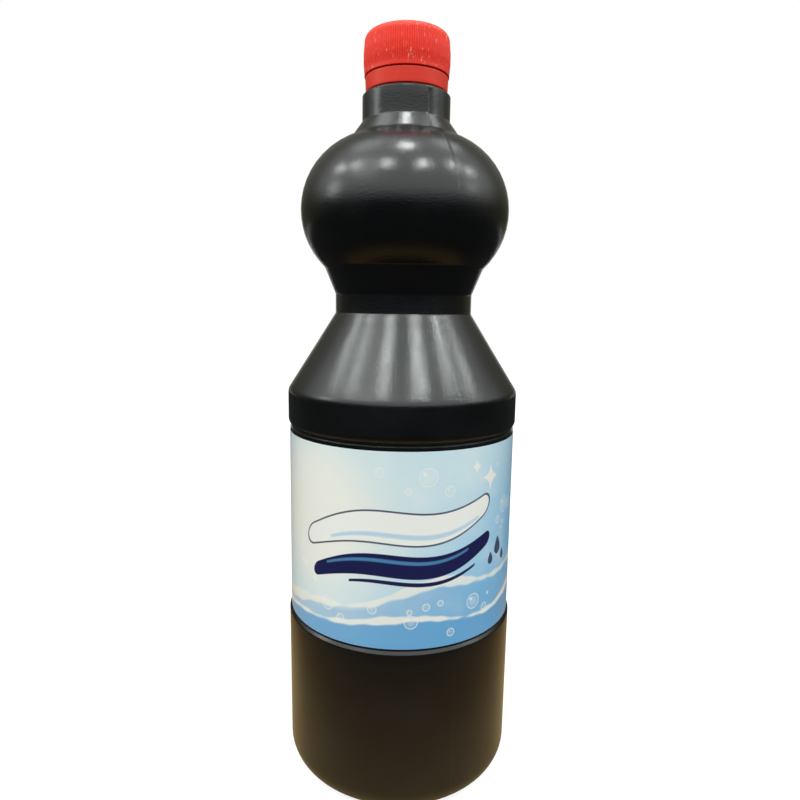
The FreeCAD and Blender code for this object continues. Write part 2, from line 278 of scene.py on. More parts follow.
def even_bearings(count: int) -> np.ndarray:
    """Equal steps once round the axis."""
    return np.arange(count) / count * FULL_TURN


@dataclass(frozen=True)
class Thread:
    """A one-start right-hand screw thread on a wall, in millimetres and turns."""

    wall: float
    depth: float
    start: float
    turns: float
    root: float
    crest: float
    inward: bool = False
    pitch: float = 3.18
    bite: float = 0.15
    run_out: float = 0.09
    steps: int = 96

    def shell(self) -> Shell:
        """The ridge: its section carried along z = start + pitch t, at t turns from the right.

        Returns:
            A closed shell that sinks into the wall at both ends over run_out turns.
        """
        out = -1 if self.inward else 1
        section = [
            Corner(-self.bite, -self.root / 2),
            Corner(self.depth, -self.crest / 2, 0.2),
            Corner(self.depth, self.crest / 2, 0.2),
            Corner(-self.bite, self.root / 2),
        ]
        points = trace(section, run=0.6, turn=25)
        if self.inward:
            points = points[::-1]
        t = np.linspace(0, self.turns, round(self.turns * self.steps) + 1)[None, :]
        rise = smooth_step(t, 0, self.run_out) * smooth_step(self.turns - t, 0, self.run_out)
        height = (points[:, :1] + self.bite) * (0.05 + 0.95 * rise) - self.bite
        up = self.start + self.pitch * t + points[:, 1:]
        return swept_shell(about_axis(self.wall + out * height, math.pi / 2 + FULL_TURN * t, up))


def place_mesh(name: str, shell: Shell, body: Motion, sharp: float = 38) -> bpy.types.Object:
    """Put a shell into the scene as a smooth-shaded piece, in metres.

    Args:
        name: The piece's name.
        shell: Its vertices and faces.
        body: The body that it rides on.
        sharp: Angle between two faces, in degrees, from which their edge is shaded sharp.

    Returns:
        The new object.
    """
    mesh = bpy.data.meshes.new(name)
    mesh.from_pydata((shell.vertices * MM).tolist(), [], shell.faces)
    mesh.shade_smooth()
    mesh.set_sharp_from_angle(angle=math.radians(sharp))
    mesh.validate()
    piece = bpy.data.objects.new(name, mesh)
    bpy.context.scene.collection.objects.link(piece)
    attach(piece, body.value)
    log.info("%s: %d vertices, %d faces", name, len(mesh.vertices), len(mesh.polygons))
    return piece


# Finishes


def linear(colour: str) -> tuple[float, float, float, float]:
    """An sRGB hex colour as linear RGBA, by the sRGB curve."""
    shares = [int(colour[i:i + 2], 16) / 255 for i in (1, 3, 5)]
    curved = [s / 12.92 if s <= 0.04045 else ((s + 0.055) / 1.055) ** 2.4 for s in shares]
    return (*curved, 1.0)


def add_node(tree: bpy.types.NodeTree, kind: str, inputs: dict | None = None, **settings: object) -> bpy.types.Node:
    """Add a node with its settings and links.

    Args:
        tree: The node tree.
        kind: The node's type name.
        inputs: For each input, by name or number, its value or the socket that feeds it.
        **settings: The node's own properties.

    Returns:
        The new node.
    """
    node = tree.nodes.new(kind)
    for name, value in settings.items():
        setattr(node, name, value)
    for key, value in (inputs or {}).items():
        if isinstance(value, bpy.types.NodeSocket):
            tree.links.new(value, node.inputs[key])
        else:
            node.inputs[key].default_value = value
    return node


def per_mm(size: float) -> float:
    """A texture scale that gives features of a size in millimetres, on coordinates in metres."""
    return 1 / (size * MM)


def new_material(name: str) -> tuple[bpy.types.Material, bpy.types.NodeTree]:
    """A material with an empty node tree."""
    material = bpy.data.materials.new(name)
    material.use_nodes = True
    material.node_tree.nodes.clear()
    return material, material.node_tree


def close_material(tree: bpy.types.NodeTree, inputs: dict) -> None:
    """Feed a Principled surface to the material's output."""
    shader = add_node(tree, "ShaderNodeBsdfPrincipled", inputs)
    add_node(tree, "ShaderNodeOutputMaterial", {"Surface": shader.outputs[0]})


@dataclass(frozen=True)
class BlownPolyethylene:
    """Black high-density polyethylene, extrusion blown in a sand-blasted mould.

    The blasted mould leaves a fine pebbled grain that breaks highlights into speckle, the
    drawn-down hose leaves faint upright waves, and handling leaves rubbed patches and dust.
    """

    name: str = "hdpe_black_extrusion_blown"
    colour: str = "#0a0c0e"
    worn_colour: str = "#1f2022"
    roughness: float = 0.2
    # Blasted grain is nearer 0.2 mm: it is drawn coarser, so that it shows.
    grain_mm: float = 0.55
    wave_mm: float = 11.0
    dust_mm: float = 3.4
    patch_mm: float = 24.0

    def material(self) -> bpy.types.Material:
        """Colour with dust and rubbed patches, uneven gloss, and bump of waves under grain."""
        material, tree = new_material(self.name)
        place = add_node(tree, "ShaderNodeTexCoord").outputs["Object"]
        grain = add_node(tree, "ShaderNodeTexNoise", {
            "Vector": place, "Scale": per_mm(self.grain_mm), "Detail": 1.0})
        upright = add_node(tree, "ShaderNodeMapping", {"Vector": place, "Scale": (1, 1, 0.3)})
        wave = add_node(tree, "ShaderNodeTexNoise", {
            "Vector": upright.outputs[0], "Scale": per_mm(self.wave_mm), "Detail": 0.0})
        dust = add_node(tree, "ShaderNodeTexVoronoi", {"Vector": place, "Scale": per_mm(self.dust_mm)})
        speck = add_node(tree, "ShaderNodeMapRange", {
            "Value": dust.outputs["Distance"], "From Min": 0.035, "From Max": 0.06, "To Min": 0.7, "To Max": 0.0})
        patch = add_node(tree, "ShaderNodeTexNoise", {
            "Vector": place, "Scale": per_mm(self.patch_mm), "Detail": 3.0})
        rubbed = add_node(tree, "ShaderNodeMapRange", {
            "Value": patch.outputs["Fac"], "From Min": 0.45, "From Max": 0.75, "To Max": 0.35})
        worn = add_node(tree, "ShaderNodeMath", {0: speck.outputs[0], 1: rubbed.outputs[0]}, operation="MAXIMUM")
        roughness = add_node(tree, "ShaderNodeMapRange", {
            "Value": patch.outputs["Fac"], "From Min": 0.3, "From Max": 0.7,
            "To Min": self.roughness - 0.03, "To Max": self.roughness + 0.04})
        colour = add_node(tree, "ShaderNodeMix", {
            "Factor": worn.outputs[0], "A": linear(self.colour), "B": linear(self.worn_colour)}, data_type="RGBA")
        waves = add_node(tree, "ShaderNodeBump", {
            "Height": wave.outputs["Fac"], "Strength": 0.5, "Distance": 0.25 * MM})
        pebbles = add_node(tree, "ShaderNodeBump", {
            "Height": grain.outputs["Fac"], "Normal": waves.outputs[0], "Strength": 0.6, "Distance": 0.1 * MM})
        close_material(tree, {
            "Base Color": colour.outputs["Result"], "Roughness": roughness.outputs[0],
            "IOR": 1.54, "Normal": pebbles.outputs[0]})
        return material


@dataclass(frozen=True)
class MouldedPolypropylene:
    """Red polypropylene, injection moulded in a polished tool.

    The tool leaves it smooth and slightly waxy; knocks in the crate leave pale scuffs on what
    stands out furthest.
    """

    name: str = "polypropylene_red_moulded"
    colour: str = "#f2331f"
    scuff_colour: str = "#ffc4b4"
    scuffs: float = 0.7
    roughness: float = 0.4
    scuff_mm: float = 0.9
    area_mm: float = 7.0
    skin_mm: float = 0.5

    def material(self) -> bpy.types.Material:
        """Colour with pale scuffs in patches, which are also rougher, over a faint skin."""
        material, tree = new_material(self.name)
        place = add_node(tree, "ShaderNodeTexCoord").outputs["Object"]
        patch = add_node(tree, "ShaderNodeTexNoise", {"Vector": place, "Scale": per_mm(self.area_mm), "Detail": 3.0})
        area = add_node(tree, "ShaderNodeMapRange", {
            "Value": patch.outputs["Fac"], "From Min": 0.4, "From Max": 0.56})
        upright = add_node(tree, "ShaderNodeMapping", {"Vector": place, "Scale": (1, 1, 0.5)})
        speck = add_node(tree, "ShaderNodeTexNoise", {
            "Vector": upright.outputs[0], "Scale": per_mm(self.scuff_mm), "Detail": 3.0, "Roughness": 0.6})
        scuff = add_node(tree, "ShaderNodeMapRange", {
            "Value": speck.outputs["Fac"], "From Min": 0.61, "From Max": 0.69, "To Max": self.scuffs})
        scuffed = add_node(tree, "ShaderNodeMath", {0: scuff.outputs[0], 1: area.outputs[0]}, operation="MULTIPLY")
        colour = add_node(tree, "ShaderNodeMix", {
            "Factor": scuffed.outputs[0], "A": linear(self.colour), "B": linear(self.scuff_colour)}, data_type="RGBA")
        roughness = add_node(tree, "ShaderNodeMapRange", {
            "Value": scuffed.outputs[0], "To Min": self.roughness, "To Max": self.roughness + 0.25})
        skin = add_node(tree, "ShaderNodeTexNoise", {"Vector": place, "Scale": per_mm(self.skin_mm), "Detail": 2.0})
        bump = add_node(tree, "ShaderNodeBump", {
            "Height": skin.outputs["Fac"], "Strength": 0.2, "Distance": 0.03 * MM})
        close_material(tree, {
            "Base Color": colour.outputs["Result"], "Roughness": roughness.outputs[0], "IOR": 1.49,
            "Specular IOR Level": 0.3, "Subsurface Weight": 0.12, "Subsurface Radius": (1.0, 0.25, 0.15),
            "Subsurface Scale": 0.8 * MM, "Normal": bump.outputs[0]})
        return material


@dataclass(frozen=True)
class FoamLiner:
    """White polyethylene foam sheet, extruded and die cut: closed cells under a dull skin."""

    name: str = "polyethylene_foam_white"
    colour: str = "#ecece6"
    shade: str = "#d6d5cc"
    cell_mm: float = 0.35

    def material(self) -> bpy.types.Material:
        """Cells drawn as bump and as a slight change of shade."""
        material, tree = new_material(self.name)
        place = add_node(tree, "ShaderNodeTexCoord").outputs["Object"]
        cells = add_node(tree, "ShaderNodeTexVoronoi", {"Vector": place, "Scale": per_mm(self.cell_mm)})
        colour = add_node(tree, "ShaderNodeMix", {
            "Factor": cells.outputs["Distance"], "A": linear(self.colour), "B": linear(self.shade)}, data_type="RGBA")
        bump = add_node(tree, "ShaderNodeBump", {
            "Height": cells.outputs["Distance"], "Strength": 0.4, "Distance": 0.08 * MM})
        close_material(tree, {
            "Base Color": colour.outputs["Result"], "Roughness": 0.62, "IOR": 1.5, "Normal": bump.outputs[0]})
        return material


@dataclass(frozen=True)
class Layer:
    """One ink of the print, and where it lies.

    Attributes:
        ink: Its colour.
        attribute: The distance that it follows.
        solid: The distance at which it has its full strength.
        clear: The distance at which there is none of it.
        strength: Its full strength.
        rim: Whether the distance counts on both sides of the edge.
    """

    ink: str
    attribute: str
    solid: float
    clear: float
    strength: float = 1.0
    rim: bool = False

    def over(self, tree: bpy.types.NodeTree, under: bpy.types.NodeSocket | tuple) -> bpy.types.NodeSocket:
        """Lay this ink over the colour so far.

        Args:
            tree: The film's node tree.
            under: The colour so far.

        Returns:
            The socket that gives the new colour.
        """
        distance = add_node(tree, "ShaderNodeAttribute", attribute_name=self.attribute).outputs["Fac"]
        if self.rim:
            distance = add_node(tree, "ShaderNodeMath", {0: distance}, operation="ABSOLUTE").outputs[0]
        amount = add_node(tree, "ShaderNodeMapRange", {
            "Value": distance, "From Min": self.clear, "From Max": self.solid, "To Max": self.strength},
            interpolation_type="SMOOTHSTEP")
        return add_node(tree, "ShaderNodeMix", {
            "Factor": amount.outputs[0], "A": under, "B": linear(self.ink)}, data_type="RGBA").outputs["Result"]


@dataclass(frozen=True)
class PrintedFilm:
    """White polypropylene film, gravure printed and varnished.

    The varnish gives it a soft gloss, the print is drawn from the piece's own attributes, and
    the wrap leaves long shallow ripples.
    """

    name: str = "polypropylene_film_printed"
    cream: str = "#fdfbf3"
    pale: str = "#d9f0f9"
    sky: str = "#93ccf4"
    deep: str = "#62a8de"
    navy: str = "#1c1e50"
    white: str = "#fdfcf8"
    roughness: float = 0.3
    cloud_mm: float = 18.2
    ripple_mm: float = 14.3

    def washes(self) -> list[Layer]:
        """The ground of the print, under the mist."""
        return [Layer(self.sky, "depth", 1.0, 0.0), Layer(self.cream, "glow", 1.0, 0.0)]

    def shapes(self) -> list[Layer]:
        """What is printed over the mist, from the far wave to the panels' rims."""
        return [
            Layer(self.deep, "far_wave", -2.5, 0.4, 0.45),
            Layer(self.cream, "far_foam", -0.5, 0.5, 0.8),
            Layer(self.deep, "near_wave", -2.0, 0.3, 0.75),
            Layer(self.cream, "near_foam", -0.5, 0.4, 0.9),
            Layer(self.white, "bubble", -1.6, 0.1, 0.3),
            Layer(self.white, "bubble", 0.08, 0.36, 0.6, rim=True),
            Layer(self.white, "glint", -0.1, 0.2, 0.9),
            Layer(self.navy, "navy_sash", -0.12, 0.12),
            Layer(self.deep, "sheen", -0.3, 0.3, 0.6),
            Layer(self.navy, "white_sash", 0.5, 0.75, 0.9),
            Layer(self.white, "white_sash", -0.12, 0.12),
            Layer(self.sky, "shade", -0.4, 0.4, 0.6),
            Layer(self.navy, "drop", -0.1, 0.15, 0.9),
            Layer(self.white, "spark", -0.1, 0.2, 0.95),
            Layer(self.white, "panel", -0.2, 0.2, 0.9),
            Layer(self.navy, "panel", 0.1, 0.3, 0.8, rim=True),
        ]

    def material(self) -> bpy.types.Material:
        """Washes, a mist and shapes of ink, each laid over the last, under rippled varnish.

        Distances to the edges of shapes are attributes in millimetres, below 0 inside, so an
        edge stays crisp between the vertices.
        """
        material, tree = new_material(self.name)
        wrap = add_node(tree, "ShaderNodeUVMap", uv_map="wrap").outputs["UV"]
        ink = linear(self.pale)
        for layer in self.washes():
            ink = layer.over(tree, ink)
        cloud = add_node(tree, "ShaderNodeTexNoise", {
            "Vector": wrap, "Scale": WRAP_UNIT / self.cloud_mm, "Detail": 3.0, "Roughness": 0.55})
        mist = add_node(tree, "ShaderNodeMapRange", {
            "Value": cloud.outputs["Fac"], "From Min": 0.48, "From Max": 0.75, "To Max": 0.35})
        ink = add_node(tree, "ShaderNodeMix", {
            "Factor": mist.outputs[0], "A": ink, "B": linear(self.white)}, data_type="RGBA").outputs["Result"]
        for layer in self.shapes():
            ink = layer.over(tree, ink)
        ripple = add_node(tree, "ShaderNodeMapping", {"Vector": wrap, "Scale": (1.0, 0.35, 1.0)})
        ripples = add_node(tree, "ShaderNodeTexNoise", {
            "Vector": ripple.outputs[0], "Scale": WRAP_UNIT / self.ripple_mm, "Detail": 2.0})
        bump = add_node(tree, "ShaderNodeBump", {
            "Height": ripples.outputs["Fac"], "Strength": 0.3, "Distance": 0.25 * MM})
        close_material(tree, {
            "Base Color": ink, "Roughness": self.roughness, "IOR": 1.5,
            "Coat Weight": 0.25, "Coat Roughness": 0.18, "Normal": bump.outputs[0]})
        return material


# The bottle and what is on it


@dataclass
class BlownBottle:
    """The blown bottle: its wall from the push-up base to the lip, and the neck's thread."""

    body_radius: float = 42.1
    wall: float = 0.8
    base_wall: float = 1.5
    heel: float = 9.0
    standing_radius: float = 30.1
    push_up_radius: float = 20.0
    push_up_depth: float = 3.4
    ledge_height: float = 59.8
    ledge_radius: float = 42.4
    panel_foot: float = 61.9
    panel_top: float = 130.2
    panel_radius: float = 41.6
    crease_foot: float = 130.7
    crease_top: float = 131.2
    crease_radius: float = 41.0
    band_foot: float = 132.6
    band_top: float = 144.2
    band_radius: float = 42.2
    waist_foot: float = 171.8
    waist_top: float = 178.6
    waist_radius: float = 24.85
    ball_radius: float = 26.8
    ball_foot: float = 188.0
    ball_foot_radius: float = 28.745
    ball_crown: float = 232.7
    ball_crown_radius: float = 19.481
    ring_foot: float = 238.1
    ring_top: float = 247.5
    ring_radius: float = 15.5
    ring_inside_radius: float = 14.15
    ring_inside_foot: float = 237.7
    ring_inside_top: float = 242.62
    ring_chamfer: float = 0.85
    bead_foot: float = 250.1
    bead_radius: float = 13.3
    finish_radius: float = 12.35
    finish_top: float = 264.3
    lip_chamfer: float = 0.4
    bore_radius: float = 10.87
    bore_foot: float = 245.9
    columns: int = 240
    # Angles from a parting line, in degrees, at which there are finer columns.
    seam_columns: tuple[float, ...] = (0, 0.12, 0.25, 0.4, 0.6, 0.85, 1.2, 1.7)
    seam_width: float = 0.28
    seam_heights: tuple[float, ...] = (0, 4, 58, 62, 128, 133, 190, 215, 228, 238, 246.5, 247.6)
    seam_strengths: tuple[float, ...] = (0, 0.04, 0.04, 0, 0, 0.03, 0.02, 0.02, 0.12, 0.45, 0.4, 0)
    finish: BlownPolyethylene = field(default_factory=BlownPolyethylene)

    def outside(self) -> list[Corner]:
        """Corners of the outer wall, from the middle of the base up to the lip."""
        return [
            Corner(0, self.push_up_depth),
            Corner(self.push_up_radius, self.push_up_depth, 4.0),
            Corner(self.standing_radius, 0, 1.0),
            Corner(self.body_radius, 0, self.heel),
            Corner(self.ledge_radius, self.ledge_height + 0.5, 0.9),
            Corner(self.panel_radius, self.panel_foot - 0.6, 0.25),
            Corner(self.panel_radius, self.panel_top + 0.2, 0.08),
            Corner(self.crease_radius, self.panel_top + 0.25, 0.1),
            Corner(self.crease_radius, self.crease_top, 0.3),
            Corner(self.band_radius, self.band_foot, 3.0),
            Corner(self.band_radius, self.band_top, 4.5),
            Corner(self.waist_radius, self.waist_foot, 0.6),
            Corner(self.waist_radius, self.waist_top, 3.0),
            Corner(self.ball_foot_radius, self.ball_foot, bulge=self.ball_radius),
            Corner(self.ball_crown_radius, self.ball_crown),
            Corner(self.ring_radius, self.ring_foot, 0.8),
            Corner(self.ring_radius, self.ring_top - self.ring_chamfer, 0.3),
            Corner(self.ring_radius - self.ring_chamfer, self.ring_top, 0.3),
            Corner(self.finish_radius, self.ring_top, 0.4),
            Corner(self.finish_radius, self.bead_foot, 0.15),
            Corner(self.bead_radius, self.bead_foot, 0.15),
            Corner(self.bead_radius, self.bead_foot + 0.6, 0.25),
            Corner(self.finish_radius, self.bead_foot + 1.7, 0.4),
            Corner(self.finish_radius, self.finish_top - self.lip_chamfer, 0.2),
            Corner(self.finish_radius - self.lip_chamfer, self.finish_top, 0.2),
        ]

    def inside(self) -> list[Corner]:
        """Corners of the inner wall, from the lip down to the middle of the base."""
        return [
            Corner(self.bore_radius, self.finish_top, 0.3),
            Corner(self.bore_radius, self.bore_foot, 1.0),
            Corner(self.ring_inside_radius, self.ring_inside_top, 1.0),
            Corner(self.ring_inside_radius, self.ring_inside_foot),
            Corner(19.337, self.ball_crown - self.wall, bulge=self.wall - self.ball_radius),
            Corner(27.557, self.ball_foot),
            Corner(self.waist_radius - self.wall, self.waist_top, 3.0),
            Corner(self.waist_radius - self.wall, self.waist_foot, 0.6),
            Corner(self.band_radius - self.wall, self.band_top, 4.5),
            Corner(self.band_radius - self.wall, self.band_foot, 3.0),
            Corner(self.crease_radius - self.wall, self.crease_top),
            Corner(self.crease_radius - self.wall, self.crease_foot),
            Corner(self.panel_radius - self.wall, self.panel_top),
            Corner(self.panel_radius - self.wall, self.panel_foot),
            Corner(self.ledge_radius - self.wall, self.ledge_height, 0.8),
            Corner(self.body_radius - self.wall, self.base_wall, self.heel - self.wall),
            Corner(self.standing_radius, self.base_wall, 1.0),
            Corner(self.push_up_radius, self.push_up_depth + self.base_wall, 4.0),
            Corner(0, self.push_up_depth + self.base_wall),
        ]

    def bearings(self) -> np.ndarray:
        """Even steps round the axis, with fine ones beside the two parting lines."""
        fine = np.radians(self.seam_columns)
        fine = np.concatenate([-fine[:0:-1], fine])
        seams = np.concatenate([PARTING_BEARING + fine, PARTING_BEARING + math.pi + fine])
        even = even_bearings(self.columns)
        gap = np.abs(np.sin(even - PARTING_BEARING))
        return np.sort(np.concatenate([even[gap > math.sin(math.radians(2.0))], seams]))

    def seam(self, profile: np.ndarray, bearings: np.ndarray) -> np.ndarray:
        """The parting line: strength (exp(-(d / width)^2) - step), at d from the parting plane.

        The step, 0.6 tanh(d / 0.08) exp(-|d| / 1.5), is where the mould's halves don't quite
        meet. The line stands out on the neck,
        fades down the ball, is a hairline on the body, and is the pinched-off weld across the
        push-up. It leaves out the ring that the bottle stands on and the finish above the
        neck ring.
        """
        radius, up = profile[:, :1], profile[:, 1:]
        outer = np.arange(len(profile))[:, None] < np.argmax(up)
        aside = radius * np.sin(bearings - PARTING_BEARING)
        step = 0.6 * np.tanh(aside / 0.08) * np.exp(-np.abs(aside) / 1.5)
        strength = np.interp(up, self.seam_heights, self.seam_strengths)
        weld = 0.3 * smooth_step(-radius, -24.0, -17.0)
        strength = np.where((up < 5) & (radius < self.standing_radius - 1), weld, strength)
        return strength * (np.exp(-(aside / self.seam_width) ** 2) - step) * outer

    def build(self) -> bpy.types.Object:
        """Turn the wall's profile, add the neck thread and place the piece."""
        profile = trace(self.outside() + self.inside(), run=4.0, turn=7.0)
        profile = eased(profile, (self.ball_crown_radius, self.ball_crown), 1.2)
        profile = eased(profile, (self.ball_foot_radius, self.ball_foot), 0.5)
        shell = lathe(profile, self.bearings(), relief=self.seam)
        thread = Thread(wall=self.finish_radius, depth=1.0, start=256.3, turns=1.75, root=2.0, crest=0.9)
        piece = place_mesh("blown_bottle", shell.joined(thread.shell()), Motion.BOTTLE)
        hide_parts("bottle")
        piece.data.materials.append(self.finish.material())
        return piece


@dataclass
class ScrewCap:
    """The screw cap: a swelling skirt with a plain lip, fine grip ribs and an inner thread."""

    foot: float = 253.2
    lip: float = 254.2
    swell: float = 257.8
    taper_foot: float = 260.9
    top: float = 267.3
    ceiling: float = 265.7
    foot_radius: float = 14.85
    radius: float = 15.15
    shoulder_radius: float = 14.6
    bore_radius: float = 13.65
    edge: float = 2.6
    rib_count: int = 120
    rib_steps: int = 8
    ribs_inner_radius: float = 14.0
    groove_depth: float = 0.24
    finish: MouldedPolypropylene = field(default_factory=MouldedPolypropylene)

    def profile(self) -> np.ndarray:
        """The skirt outside, the top with its gate dimple, and the inside."""
        return trace([
            Corner(0, self.ceiling),
            Corner(self.bore_radius, self.ceiling, 0.4),
            Corner(self.bore_radius, self.foot + 0.5),
            Corner(self.bore_radius + 0.4, self.foot, 0.15),
            Corner(self.foot_radius, self.foot, 0.25),
            Corner(self.foot_radius, self.lip, 0.12),
            Corner(self.radius, self.swell, 4.0),
            Corner(self.radius, self.taper_foot, 6.0),
            Corner(self.shoulder_radius, self.top, self.edge),
            Corner(1.9, self.top, 0.2),
            Corner(1.6, self.top - 0.3, 0.2),
            Corner(0.5, self.top - 0.3, 0.1),
            Corner(0.4, self.top - 0.1, 0.08),
            Corner(0, self.top - 0.1),
        ], run=0.7, turn=11)

    def ribs(self, profile: np.ndarray, bearings: np.ndarray) -> np.ndarray:
        """Grooves between the ribs: depth exp(-(u / 0.2)^2), u pitches from a groove's middle.

        They start at the plain lip and fade out over the rounded edge.
        """
        radius, up = profile[:, :1], profile[:, 1:]
        pitches = bearings / FULL_TURN * self.rib_count
        u = pitches - np.round(pitches)
        length = smooth_step(up, self.lip, self.lip + 0.3) * (1 - smooth_step(up, self.top - 2.4, self.top - 0.9))
        outer = radius > self.ribs_inner_radius
        return -self.groove_depth * length * outer * np.exp(-(u / 0.2) ** 2)

    def build(self) -> bpy.types.Object:
        """Turn the ribbed shell, add the inner thread and place the piece."""
        shell = lathe(self.profile(), even_bearings(self.rib_count * self.rib_steps), relief=self.ribs)
        thread = Thread(wall=self.bore_radius, depth=0.9, start=254.95, turns=1.75, root=1.5, crest=0.6, inward=True)
        piece = place_mesh("screw_cap", shell.joined(thread.shell()), Motion.CAP)
        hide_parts("cap")
        piece.data.materials.append(self.finish.material())
        return piece


@dataclass
class TamperBand:
    """The band that stays on the neck, hooked under its bead, with ten torn-off bridges."""

    foot: float = 247.85
    top: float = 252.9
    foot_radius: float = 14.35
    top_radius: float = 14.55
    bore_radius: float = 13.6
    hook_radius: float = 12.9
    hook_top: float = 249.45
    bridges: int = 10
    bridge_top: float = 253.15
    bridge_radius: float = 14.0
    bridge_width: float = 0.8
    finish: MouldedPolypropylene = field(default_factory=lambda: MouldedPolypropylene(
        name="polypropylene_red_smooth", colour="#e83825", scuffs=0.06, roughness=0.42))

    def profile(self) -> np.ndarray:
        """A thin hoop with the hook inside its foot."""
        return trace([
            Corner(self.hook_radius, self.foot, 0.15),
            Corner(self.foot_radius, self.foot, 0.25),
            Corner(self.top_radius, self.top, 0.15),
            Corner(self.bore_radius, self.top, 0.1),
            Corner(self.bore_radius, self.hook_top + 0.35),
            Corner(self.hook_radius, self.hook_top, 0.1),
        ], closed=True, run=0.8, turn=15)

    def bridge(self, bearing: float) -> Shell:
        """A nub left by a torn bridge: its section turned through the bridge's own width."""
        section = trace([
            Corner(self.bore_radius + 0.02, self.top - 0.15),
            Corner(self.bridge_radius + 0.1, self.top - 0.15),
            Corner(self.bridge_radius, self.bridge_top, 0.12),
            Corner(self.bore_radius + 0.12, self.bridge_top - 0.08, 0.12),
        ], closed=True, run=0.3, turn=30)
        half = self.bridge_width / self.bridge_radius / 2
        return swept_shell(about_axis(section[:, :1], bearing + np.linspace(-half, half, 5), section[:, 1:]))

    def build(self) -> bpy.types.Object:
        """Turn the hoop, add the nubs and place the piece."""
        shell = lathe(self.profile(), even_bearings(240), closed=True)
        for number in range(self.bridges):
            shell = shell.joined(self.bridge(math.pi / 2 + number * FULL_TURN / self.bridges))
        piece = place_mesh("tamper_hoop", shell, Motion.BOTTLE)
        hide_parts("tamper_band")
        piece.data.materials.append(self.finish.material())
        return piece


